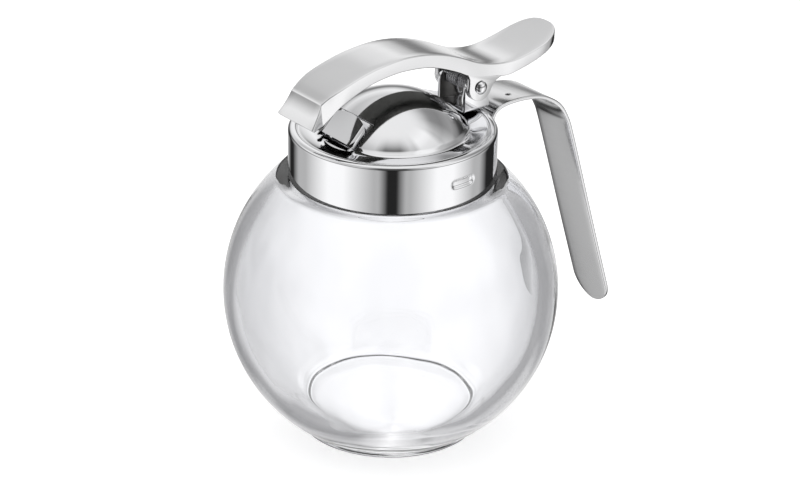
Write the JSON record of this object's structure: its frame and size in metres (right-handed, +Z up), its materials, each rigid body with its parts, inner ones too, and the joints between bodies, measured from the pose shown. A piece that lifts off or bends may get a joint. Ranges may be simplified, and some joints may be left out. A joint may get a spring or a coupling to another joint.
{
  "type": "honey dispenser",
  "caption": "Round clear glass honey dispenser with a chromed lid, a domed cap, a sloping spout plate, a sprung thumb lever on a bracket and pin, and a strip handle. The jar is empty.",
  "frame": {"origin": "middle of the jar's flat underside", "axes": "+Z up; the lever and the handle lie along X, pouring nose to -X, thumb rest and handle to +X"},
  "size_m": [0.1378, 0.103, 0.1232],
  "materials": {
    "clear_glass": "polished",
    "chrome": "polished",
    "cast_chrome": "satin",
    "spring_steel": "satin"
  },
  "bodies": {
    "dispenser": {"jar": "clear_glass", "lid": "chrome", "spout_plate": "chrome", "bracket": "chrome", "pin": "chrome", "spring": "spring_steel", "handle": "cast_chrome"},
    "thumb_lever": {"lever": "cast_chrome"}
  },
  "joints": [
    {"name": "lever_hinge", "type": "hinge", "parent": "dispenser", "child": "thumb_lever", "pos_m": [0.0266, 0, 0.1071], "axis": [0, 1, 0], "range_deg": [0, 31], "stiffness_Nm_per_rad": 0.12, "springref_deg": -28.65}
  ]
}
